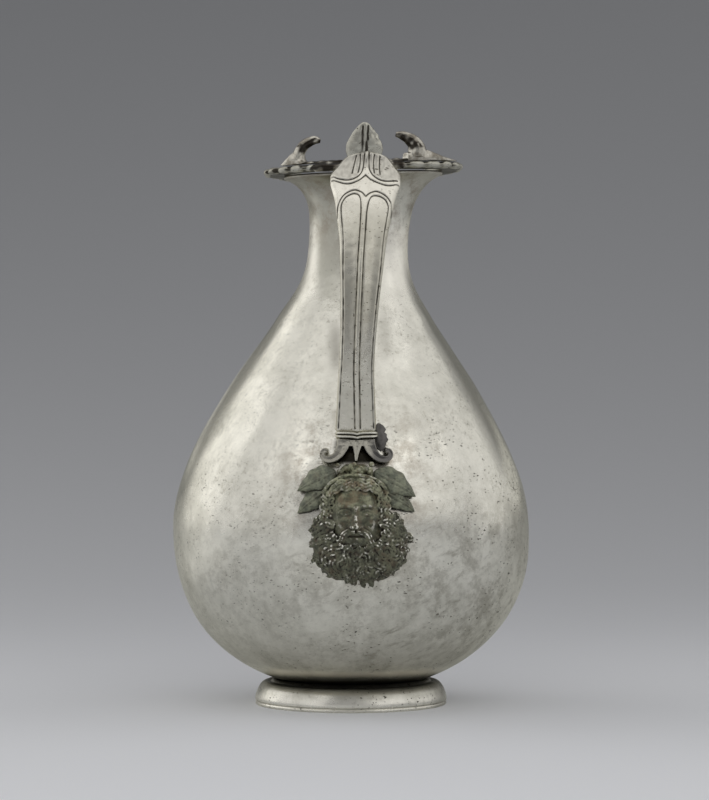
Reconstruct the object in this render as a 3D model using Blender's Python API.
"""Silver oinochoe jug: raised body, ring foot, moulded lip, cast strap handle and a bearded mask.

Sizes are in millimetres and become metres in finish(). The handle is at -Y, the spout at +Y.
"""
import math

import bmesh
import bpy
import numpy as np
from mathutils import Vector
from mathutils.geometry import interpolate_bezier

for old in list(bpy.data.objects):
    bpy.data.objects.remove(old, do_unlink=True)

MM = 0.001
GAP = 0.35
AXIS_Y = 4.5

# Body: radius and height of the points that its outline runs through
WALL = 1.2
BASE_HEIGHT = 8.0
FOOT_JOINT = Vector((31.0, 10.7))
BELLY = Vector((73.9, 72.6))
SHOULDER = Vector((32.9, 159.5))
NECK = Vector((20.6, 194.3))
LIP = Vector((32.6, 219.2))
FOOT_SLOPE = Vector((2.3, 1.0)).normalized()
SHOULDER_SLOPE = Vector((-0.61, 1.0)).normalized()
LIP_SLOPE = Vector((0.95, 0.31)).normalized()
UPRIGHT = Vector((0.0, 1.0))
BODY_STEPS = 48

# The upper part of the jug is bent a little to +X
LEAN = 0.064
LEAN_START = 135.0
LEAN_EASE = 10.0

# Three-lobed mouth, lower at the spout
MOUTH_RADIUS = 40.0
MOUTH_SHIFT = 1.5
MOUTH_LOBE = 4.0
MOUTH_SIDE = 41.4
MOUTH_DIP = 4.0
FLARE_START = 200.0

# Lip plate and its egg moulding
RIM_BOTTOM = 220.7
RIM_THICK = 2.8
RIM_WIDTH = 9.5
EGGS = 33
EGG_STEPS = 4
EGG_DEPTH = 1.1

# Ring foot
FOOT_RADIUS = 39.6
FOOT_INNER = 34.4
FOOT_STEPS = 54

# Strap: distance of the outer face from the axis and height, then width at a height
STRAP_PATH = (
    (64.8, 115.8), (67.8, 130.0), (69.0, 145.0), (68.0, 161.0), (64.6, 177.0), (58.8, 193.0),
    (51.6, 206.0), (45.0, 214.5), (40.9, 220.0), (39.0, 224.0), (38.4, 227.4),
)
STRAP_WIDTH = (
    (115.0, 15.6), (130.0, 14.4), (145.0, 13.8), (166.0, 15.3), (186.0, 18.0), (194.0, 19.2),
    (203.0, 21.8), (209.0, 24.2), (213.0, 26.4), (216.3, 28.4), (219.8, 28.2), (222.0, 24.4), (224.3, 20.2),
    (225.8, 16.6), (227.0, 13.6), (228.0, 12.4),
)
STRAP_THICK = 4.2
STRAP_LUG = Vector((5.4, 9.0, 1.8))
LUG_MIDDLE = 32.0
STRAP_SECTION = (
    (-1.0, -0.5), (-0.86, 0.35), (-0.45, 0.72), (0.0, 1.0), (0.45, 0.72), (0.86, 0.35), (1.0, -0.5),
    (0.88, -1.0), (0.0, -1.0), (-0.88, -1.0),
)

# Thumb rest: distance of its middle from the axis, height, width, thickness
THUMB_LEAF = (
    (36.4, 227.8, 14.6, 4.0), (36.0, 230.0, 14.4, 4.2), (35.9, 233.0, 12.2, 3.8), (36.3, 236.0, 8.4, 3.0),
    (37.0, 238.6, 4.4, 2.2), (37.3, 239.7, 1.6, 1.2),
)
THUMB_SIDE = -1.1

# Bars and horns on the lip: angles from the spout, in degrees
ARM_HALF_WIDTH = 2.2
ARM_HEIGHT = 1.1
ARM_INSET = 4.2
LEFT_ARM = (-168.0, -139.8)
RIGHT_ARM = (168.0, 151.8)
LEFT_BASE = ((-138.5, 1.0), (-134.0, 3.6), (-130.5, 5.4), (-126.0, 3.4), (-121.5, 0.8))
RIGHT_BASE = ((150.5, 3.6), (146.0, 3.9), (139.0, 3.7), (130.0, 1.6), (116.0, 0.6))
LEFT_HORN = (
    (-28.4, 226.2, 2.0), (-27.6, 229.6, 1.7), (-25.4, 232.2, 1.4), (-22.4, 233.4, 1.1), (-19.8, 233.8, 0.8),
)
RIGHT_HORN = (
    (20.8, 226.0, 3.0), (20.5, 229.6, 2.6), (19.2, 232.4, 2.0), (16.0, 234.5, 1.5), (12.2, 235.5, 0.9),
)
LEFT_HORN_Y = -25.4
RIGHT_HORN_Y = -28.6

# Double bead under the strap: stand-off from the belly and height
COLLAR_HALF_WIDTH = 8.3
COLLAR_BOTTOM = 112.2
COLLAR_SECTION = (
    (GAP, 0.0), (4.4, 0.1), (5.4, 0.85), (4.6, 1.65), (5.4, 2.45), (4.4, 3.2), (GAP, 3.3),
)

# Scroll bracket: across and height of the arm's middle line, width
VOLUTE_ARM = (
    (4.4, 111.2, 4.6), (5.4, 108.8, 3.8), (7.0, 106.5, 2.9), (9.1, 104.7, 2.2), (11.2, 104.1, 1.8),
    (13.0, 104.8, 1.7), (13.6, 106.3, 1.6), (12.7, 107.6, 1.5), (11.4, 107.3, 1.4),
)
VOLUTE_TONGUE = ((0.2, 111.2, 4.4), (0.3, 108.5, 3.0), (0.2, 106.2, 1.8), (0.0, 104.0, 0.9))
VOLUTE_BAR = ((-6.6, 110.5, 2.4), (6.6, 110.5, 2.4))
VOLUTE_BACK = 0.6
VOLUTE_FRONT = 3.8

# Mask: half width at a height above the mask's middle
MASK_CENTRE = Vector((-0.6, 78.8))
MASK_HALF_WIDTH = (
    (-25.2, 4.0), (-22.4, 12.4), (-15.5, 19.8), (-7.4, 22.0), (-1.2, 19.4), (2.4, 13.2), (8.0, 10.8),
    (14.0, 10.4), (20.6, 9.8), (23.8, 6.4),
)
MASK_COLUMNS = 26
MASK_ROWS = 34
HAIR_LINE = 15.0
EYE_LINE = 4.8
BROW_LINE = 7.5
NOSE_BASE = -1.5
MOUTH_LINE = -4.5
EYE_ACROSS = 4.2

# Wreath leaves: root, tip, width
LEAVES = {
    "left_upper_leaf": ((-11.0, 19.6), (-23.2, 13.4), 8.4),
    "left_lower_leaf": ((-11.6, 10.6), (-23.4, 4.8), 7.0),
    "right_upper_leaf": ((11.0, 19.6), (24.0, 12.0), 8.4),
    "right_lower_leaf": ((11.6, 9.9), (24.4, 3.6), 6.6),
}

# Repair beside the strap's foot
PATCH_CENTRE = Vector((11.3, 113.4))
PATCH_HALF = Vector((1.9, 5.0))

SILVER = ((0.72, 0.71, 0.67, 1.0), 0.35)
DARK_SILVER = ((0.30, 0.29, 0.27, 1.0), 0.5)
BRONZE = ((0.10, 0.11, 0.08, 1.0), 0.45)
GREEN_BRONZE = ((0.16, 0.18, 0.13, 1.0), 0.6)


def through(points, count):
    """Return a smooth row of points that runs through the given ones."""
    known = [Vector(p) for p in points]
    known = [2 * known[0] - known[1]] + known + [2 * known[-1] - known[-2]]
    row = []
    for before, first, second, after in zip(known, known[1:], known[2:], known[3:]):
        handle_a = first + (second - before) / 6
        handle_b = second - (after - first) / 6
        for step in range(count):
            t = step / count
            weights = ((1 - t) ** 3, 3 * (1 - t) ** 2 * t, 3 * (1 - t) * t * t, t ** 3)
            knots = (first, handle_a, handle_b, second)
            row.append(sum((w * k for w, k in zip(weights, knots)), first * 0.0))
    row.append(known[-2])
    return row


def stretch(first, first_handle, last_handle, last, count):
    """Return one cubic stretch of the body outline without its end point."""
    flat = [p.to_3d() for p in (first, first_handle, last_handle, last)]
    return [p.to_2d() for p in interpolate_bezier(*flat, count + 1)[:-1]]


def body_outline():
    """Return the outer outline of the body from the middle of its base to the lip."""
    base = Vector((0.0, BASE_HEIGHT))
    row = stretch(base, Vector((16.0, BASE_HEIGHT)), FOOT_JOINT - 8.0 * FOOT_SLOPE, FOOT_JOINT, 3)
    row += stretch(FOOT_JOINT, FOOT_JOINT + 5.5 * FOOT_SLOPE, BELLY - 48.8 * UPRIGHT, BELLY, 9)
    row += stretch(BELLY, BELLY + 34.6 * UPRIGHT, SHOULDER - 11.9 * SHOULDER_SLOPE, SHOULDER, 8)
    row += stretch(SHOULDER, SHOULDER + 12.0 * SHOULDER_SLOPE, NECK - 19.5 * UPRIGHT, NECK, 5)
    row += stretch(NECK, NECK + 9.0 * UPRIGHT, LIP - 11.0 * LIP_SLOPE, LIP, 6)
    return row + [LIP]


OUTLINE = body_outline()
OUTLINE_R = np.array([p.x for p in OUTLINE])
OUTLINE_Z = np.array([p.y for p in OUTLINE])


def body_radius(height):
    """Return the outer radius of the body at a height."""
    return float(np.interp(height, OUTLINE_Z, OUTLINE_R))


def on_belly(across, height, off):
    """Return the point that stands off the body at the handle side."""
    radius = body_radius(height)
    angle = across / (radius + 3.0)
    return Vector(((radius + off) * math.sin(angle), -(radius + off) * math.cos(angle), height))


def mouth_radius(angle):
    """Return the outer radius of the lip at an angle from the spout."""
    return MOUTH_RADIUS + MOUTH_SHIFT * math.cos(angle) + MOUTH_LOBE * math.cos(3 * angle)


def mouth_dip(angle):
    """Return how far the lip is lowered at an angle from the spout."""
    return MOUTH_DIP * (0.5 + 0.5 * math.cos(angle)) ** 2


def lathe(section, steps, closed):
    """Turn a section about the axis."""
    bm = bmesh.new()
    verts = [bm.verts.new((p[0], 0.0, p[1])) for p in section]
    edges = [bm.edges.new(pair) for pair in zip(verts, verts[1:])]
    if closed:
        edges.append(bm.edges.new((verts[-1], verts[0])))
    turn = {"axis": (0, 0, 1), "cent": (0, 0, 0), "angle": math.tau, "steps": steps, "use_merge": True}
    bmesh.ops.spin(bm, geom=verts + edges, **turn)
    bmesh.ops.remove_doubles(bm, verts=bm.verts, dist=0.001)
    return bm


def loft(rings):
    """Skin a row of closed rings and close both ends."""
    bm = bmesh.new()
    loops = []
    for ring in rings:
        verts = [bm.verts.new(p) for p in ring]
        loops.append([bm.edges.new((verts[i - 1], verts[i])) for i in range(len(verts))])
    for first, second in zip(loops, loops[1:]):
        bmesh.ops.bridge_loops(bm, edges=first + second)
    bmesh.ops.contextual_create(bm, geom=loops[0])
    bmesh.ops.contextual_create(bm, geom=loops[-1])
    return bm


def oval(centre, across, up, half_across, half_up, count):
    """Return an oval ring about a point."""
    turns = [math.tau * i / count for i in range(count)]
    return [centre + across * half_across * math.cos(a) + up * half_up * math.sin(a) for a in turns]


def finish(name, bm, look):
    """Bend the piece with the neck, set it on the jug's axis in metres and give it a material."""
    for vert in bm.verts:
        rise = max(vert.co.z - LEAN_START, 0.0)
        vert.co.x += LEAN * rise * rise / (rise + LEAN_EASE)
        vert.co.y += AXIS_Y
        vert.co *= MM
    bmesh.ops.recalc_face_normals(bm, faces=bm.faces)
    if bm.calc_volume(signed=True) < 0:
        bmesh.ops.reverse_faces(bm, faces=bm.faces)
    mesh = bpy.data.meshes.new(name)
    bm.to_mesh(mesh)
    bm.free()
    piece = bpy.data.objects.new(name, mesh)
    bpy.context.collection.objects.link(piece)
    material = bpy.data.materials.new(name)
    material.use_nodes = True
    shader = material.node_tree.nodes["Principled BSDF"]
    shader.inputs["Base Color"].default_value = look[0]
    shader.inputs["Metallic"].default_value = 1.0
    shader.inputs["Roughness"].default_value = look[1]
    mesh.materials.append(material)
    return piece


def join_onto(piece, tool):
    """Unite a tool with a piece and keep the tool out of the render."""
    joint = piece.modifiers.new("join " + tool.name, "BOOLEAN")
    joint.operation = "UNION"
    joint.solver = "EXACT"
    joint.object = tool
    tool.hide_render = True
    tool.display_type = "WIRE"


def inner_outline():
    """Return the inside of the body from the lip to the middle of its base."""
    row = []
    for before, here, after in zip(OUTLINE, OUTLINE[1:], OUTLINE[2:] + [LIP + LIP_SLOPE]):
        along = (after - before).normalized()
        row.append(here - WALL * Vector((along.y, -along.x)))
    return row[::-1] + [Vector((0.0, BASE_HEIGHT + WALL))]


def build_body():
    """Turn the body and press its mouth into three lobes."""
    bm = lathe(OUTLINE + inner_outline(), BODY_STEPS, False)
    for vert in bm.verts:
        part = min(max((vert.co.z - FLARE_START) / (LIP.y - FLARE_START), 0.0), 1.0)
        if part > 0.0:
            blend = part * part * (3 - 2 * part)
            angle = math.atan2(vert.co.x, vert.co.y)
            grow = 1 + blend * (mouth_radius(angle) - MOUTH_SIDE) / vert.co.xy.length
            vert.co.x *= grow
            vert.co.y *= grow
            vert.co.z -= blend * mouth_dip(angle)
    finish("vessel_body", bm, SILVER)


def build_rim():
    """Turn the lip plate, follow the mouth and notch its edge into eggs."""
    half = RIM_THICK / 2
    section = [(-RIM_WIDTH, 0.0), (-1.9, 0.0), (-0.5, 0.3 * half), (0.0, half), (-0.5, 1.7 * half)]
    section += [(-1.9, RIM_THICK), (-RIM_WIDTH, RIM_THICK)]
    placed = [(MOUTH_RADIUS + r, RIM_BOTTOM + z) for r, z in section]
    bm = lathe(placed, EGGS * EGG_STEPS, True)
    for vert in bm.verts:
        angle = math.atan2(vert.co.x, vert.co.y)
        inset = MOUTH_RADIUS - vert.co.xy.length
        edge = max(1 - inset / 1.9, 0.0)
        notch = EGG_DEPTH * edge * (1 - abs(math.sin(EGGS * angle / 2)) ** 0.5)
        radius = mouth_radius(angle) - inset - notch
        vert.co.x = radius * math.sin(angle)
        vert.co.y = radius * math.cos(angle)
        vert.co.z -= mouth_dip(angle)
    finish("rim_band", bm, SILVER)


def build_foot():
    """Turn the ring foot up to the underside of the body."""
    contact = [(r, float(np.interp(r, OUTLINE_R[:7], OUTLINE_Z[:7])) - GAP - 0.05) for r in (30.0, 32.4)]
    moulding = [(33.6, 9.2), (35.4, 9.9), (36.9, 9.3), (38.2, 7.2), (39.1, 4.4), (39.4, 2.0), (39.0, 1.5)]
    under = [(FOOT_RADIUS, 1.0), (FOOT_RADIUS, 0.0), (FOOT_INNER, 0.0), (33.4, 1.2), (31.4, 6.0)]
    finish("foot_ring", lathe(contact + moulding + under, FOOT_STEPS, True), SILVER)


def build_strap():
    """Loft the strap along its path."""
    path = through(STRAP_PATH, 3)
    heights, widths = zip(*through(STRAP_WIDTH, 3))
    rings = []
    for index, place in enumerate(path):
        before = path[max(index - 1, 0)]
        after = path[min(index + 1, len(path) - 1)]
        along = (after - before).normalized()
        out = Vector((0.0, -along.y, -along.x))
        across = Vector((0.5 * float(np.interp(place.y, heights, widths)), 0, 0))
        depth = out * STRAP_THICK / 2
        middle = Vector((0.0, -place.x, place.y)) - depth
        rings.append([middle + across * a + depth * b for a, b in STRAP_SECTION])
    strap = finish("handle_strap", loft(rings), SILVER)
    lug = bmesh.new()
    bmesh.ops.create_cube(lug, size=1.0)
    bmesh.ops.scale(lug, vec=(2 * STRAP_LUG.x, STRAP_LUG.y, STRAP_LUG.z), verts=lug.verts)
    lift = RIM_BOTTOM + RIM_THICK + GAP + STRAP_LUG.z / 2
    bmesh.ops.translate(lug, vec=(0.0, -LUG_MIDDLE, lift), verts=lug.verts)
    join_onto(strap, finish("lip_lug", lug, SILVER))


def build_thumb_leaf():
    """Loft the bud on the top of the strap."""
    across = Vector((1, 0, 0))
    out = Vector((0, 1, 0))
    rows = through(THUMB_LEAF, 2)
    rings = [oval(Vector((THUMB_SIDE, -d, z)), across, out, w / 2, t / 2, 12) for d, z, w, t in rows]
    finish("thumb_leaf", loft(rings), SILVER)


def rim_ring(degrees, height, half_width):
    """Return an upright section of a bar that lies on the lip plate."""
    angle = math.radians(degrees)
    out = Vector((math.sin(angle), math.cos(angle), 0))
    bottom = RIM_BOTTOM + RIM_THICK + GAP - mouth_dip(angle)
    foot = out * (mouth_radius(angle) - ARM_INSET) + Vector((0, 0, bottom))
    shape = ((-1.0, 0.0), (1.0, 0.0), (1.0, 0.55), (0.55, 1.0), (-0.55, 1.0), (-1.0, 0.55))
    return [foot + out * half_width * a + Vector((0, 0, height * b)) for a, b in shape]


def build_arm(name, start, end):
    """Loft a bar along the lip."""
    turns = [start + (end - start) * i / 4 for i in range(5)]
    finish(name, loft([rim_ring(turn, ARM_HEIGHT, ARM_HALF_WIDTH) for turn in turns]), DARK_SILVER)


def build_finial(name, base, horn, horn_y):
    """Join a horn onto its base on the lip."""
    rings = [rim_ring(turn, height, 2.6) for turn, height in through(base, 2)]
    foot = finish(name, loft(rings), DARK_SILVER)
    path = through(horn, 3)
    hoops = []
    for index, (x, z, half) in enumerate(path):
        before = path[max(index - 1, 0)]
        after = path[min(index + 1, len(path) - 1)]
        along = Vector((after.x - before.x, 0, after.y - before.y)).normalized()
        across = Vector((along.z, 0, -along.x))
        hoops.append(oval(Vector((x, horn_y, z)), across, Vector((0, 1, 0)), half, half, 8))
    join_onto(foot, finish(name + "_horn", loft(hoops), DARK_SILVER))


def build_collar():
    """Loft the double bead round the belly side."""
    rings = []
    for step in range(9):
        across = COLLAR_HALF_WIDTH * (step / 4 - 1)
        rings.append([on_belly(across, COLLAR_BOTTOM + z, off) for off, z in COLLAR_SECTION])
    finish("handle_collar", loft(rings), SILVER)


def flat_bar(name, rows, side):
    """Loft a bar of the scroll bracket over the belly."""
    rings = []
    for index, (x, z, width) in enumerate(rows):
        before = rows[max(index - 1, 0)]
        after = rows[min(index + 1, len(rows) - 1)]
        along = Vector((after[0] - before[0], after[1] - before[1])).normalized()
        across = Vector((along.y, -along.x)) * width / 2
        one = Vector((x, z)) + across
        two = Vector((x, z)) - across
        corners = ((one, VOLUTE_BACK), (one, VOLUTE_FRONT), (two, VOLUTE_FRONT), (two, VOLUTE_BACK))
        rings.append([on_belly(side * p.x, p.y, off) for p, off in corners])
    return finish(name, loft(rings), SILVER)


def build_volute():
    """Join two scroll arms and a tongue under a bar."""
    bracket = flat_bar("handle_volute", through(VOLUTE_BAR, 6), 1)
    join_onto(bracket, flat_bar("left_scroll", through(VOLUTE_ARM, 3), -1))
    join_onto(bracket, flat_bar("right_scroll", through(VOLUTE_ARM, 3), 1))
    join_onto(bracket, flat_bar("middle_tongue", through(VOLUTE_TONGUE, 2), 1))


def hill(x, y, wide, high):
    """Return a soft round rise that is one at its middle."""
    return math.exp(-((x / wide) ** 2) - ((y / high) ** 2))


def mask_height(x, y, part):
    """Return the relief of the head: face on plain proportions, moustache and parted beard locks."""
    fan = math.atan2(x, 8.0 - y)
    beard = max(0.0, min(1.0, (NOSE_BASE - 3.0 - y) / 4.0)) + max(0.0, min(1.0, (abs(x) - 9.0) / 3.0))
    height = 2.0 + 4.2 * (1 - part ** 3)
    height += 2.2 * hill(x, y - 4.0, 9.0, 11.0)
    height += 0.7 * hill(abs(x) - EYE_ACROSS, y - BROW_LINE, 3.4, 1.2)
    height -= 1.3 * hill(abs(x) - EYE_ACROSS, y - EYE_LINE, 2.4, 1.5)
    height += 0.7 * hill(abs(x) - EYE_ACROSS, y - EYE_LINE, 1.5, 1.0)
    height += 1.3 * hill(x, y - 2.6, 1.4, 4.2)
    height += 0.9 * hill(x, y - NOSE_BASE - 0.4, 2.2, 1.6)
    height += 0.9 * hill(abs(x) - 3.2, y - NOSE_BASE + 2.0, 3.4, 1.1)
    height -= 0.7 * hill(x, y - MOUTH_LINE, 2.6, 0.7)
    height += (0.9 + 0.4 * math.cos(2.2 * x)) * hill(0.0, y - HAIR_LINE, 1.0, 1.8)
    height += 1.5 * hill(abs(x) - 4.0, y - 21.2, 3.0, 2.2)
    return height + 0.55 * min(beard, 1.0) * (1 - part ** 3) * math.cos(24 * fan)


def relief(name, columns, rows, place, look):
    """Raise a closed relief from a grid: place() sets each point of its front and of its back."""
    bm = bmesh.new()
    bmesh.ops.create_grid(bm, x_segments=columns, y_segments=rows, size=1.0)
    copied = bmesh.ops.extrude_face_region(bm, geom=bm.faces[:])["geom"]
    back = {item for item in copied if isinstance(item, bmesh.types.BMVert)}
    for vert in bm.verts:
        vert.co = place(vert.co.x, vert.co.y, vert not in back)
    finish(name, bm, look)


def build_mask():
    """Raise the head off the belly."""
    heights, widths = zip(*through(MASK_HALF_WIDTH, 3))

    def place(x, y, front):
        high = heights[0] + (heights[-1] - heights[0]) * (y + 1) / 2
        across = x * float(np.interp(high, heights, widths))
        part = max(abs(x), abs(y)) ** 2
        off = mask_height(across, high, part) if front else GAP
        return on_belly(MASK_CENTRE.x + across, MASK_CENTRE.y + high, off)

    relief("mask", MASK_COLUMNS, MASK_ROWS, place, BRONZE)


def build_leaf(name, root, tip, width):
    """Raise a pointed leaf off the belly beside the head."""
    root = Vector(root) + MASK_CENTRE
    along = Vector(tip) + MASK_CENTRE - root
    side = Vector((-along.y, along.x)).normalized()

    def place(x, y, front):
        part = (y + 1) / 2
        swell = 0.25 + width / 2 * math.sin(math.pi * part ** 0.8) ** 0.8
        spot = root + along * part + side * x * swell
        off = 0.9 + 1.7 * (1 - x * x) * math.sin(math.pi * part) ** 0.5 if front else 0.0
        return on_belly(spot.x, spot.y, GAP + off)

    relief(name, 8, 10, place, GREEN_BRONZE)


def build_patch():
    """Raise the thin ragged repair."""

    def place(x, y, front):
        ragged = math.sqrt(max(1 - y * y, 0.02)) * (1 + 0.12 * math.sin(9 * y))
        off = 0.3 + 0.5 * (1 - x * x) * (1 - y * y) if front else 0.0
        spot = PATCH_CENTRE + Vector((PATCH_HALF.x * ragged * x, PATCH_HALF.y * y))
        return on_belly(spot.x, spot.y, GAP + off)

    relief("solder_patch", 6, 14, place, DARK_SILVER)


build_body()
build_rim()
build_foot()
build_strap()
build_thumb_leaf()
build_arm("left_rim_arm", *LEFT_ARM)
build_arm("right_rim_arm", *RIGHT_ARM)
build_finial("left_finial", LEFT_BASE, LEFT_HORN, LEFT_HORN_Y)
build_finial("right_finial", RIGHT_BASE, RIGHT_HORN, RIGHT_HORN_Y)
build_collar()
build_volute()
build_mask()
for leaf_name, (leaf_root, leaf_tip, leaf_width) in LEAVES.items():
    build_leaf(leaf_name, leaf_root, leaf_tip, leaf_width)
build_patch()
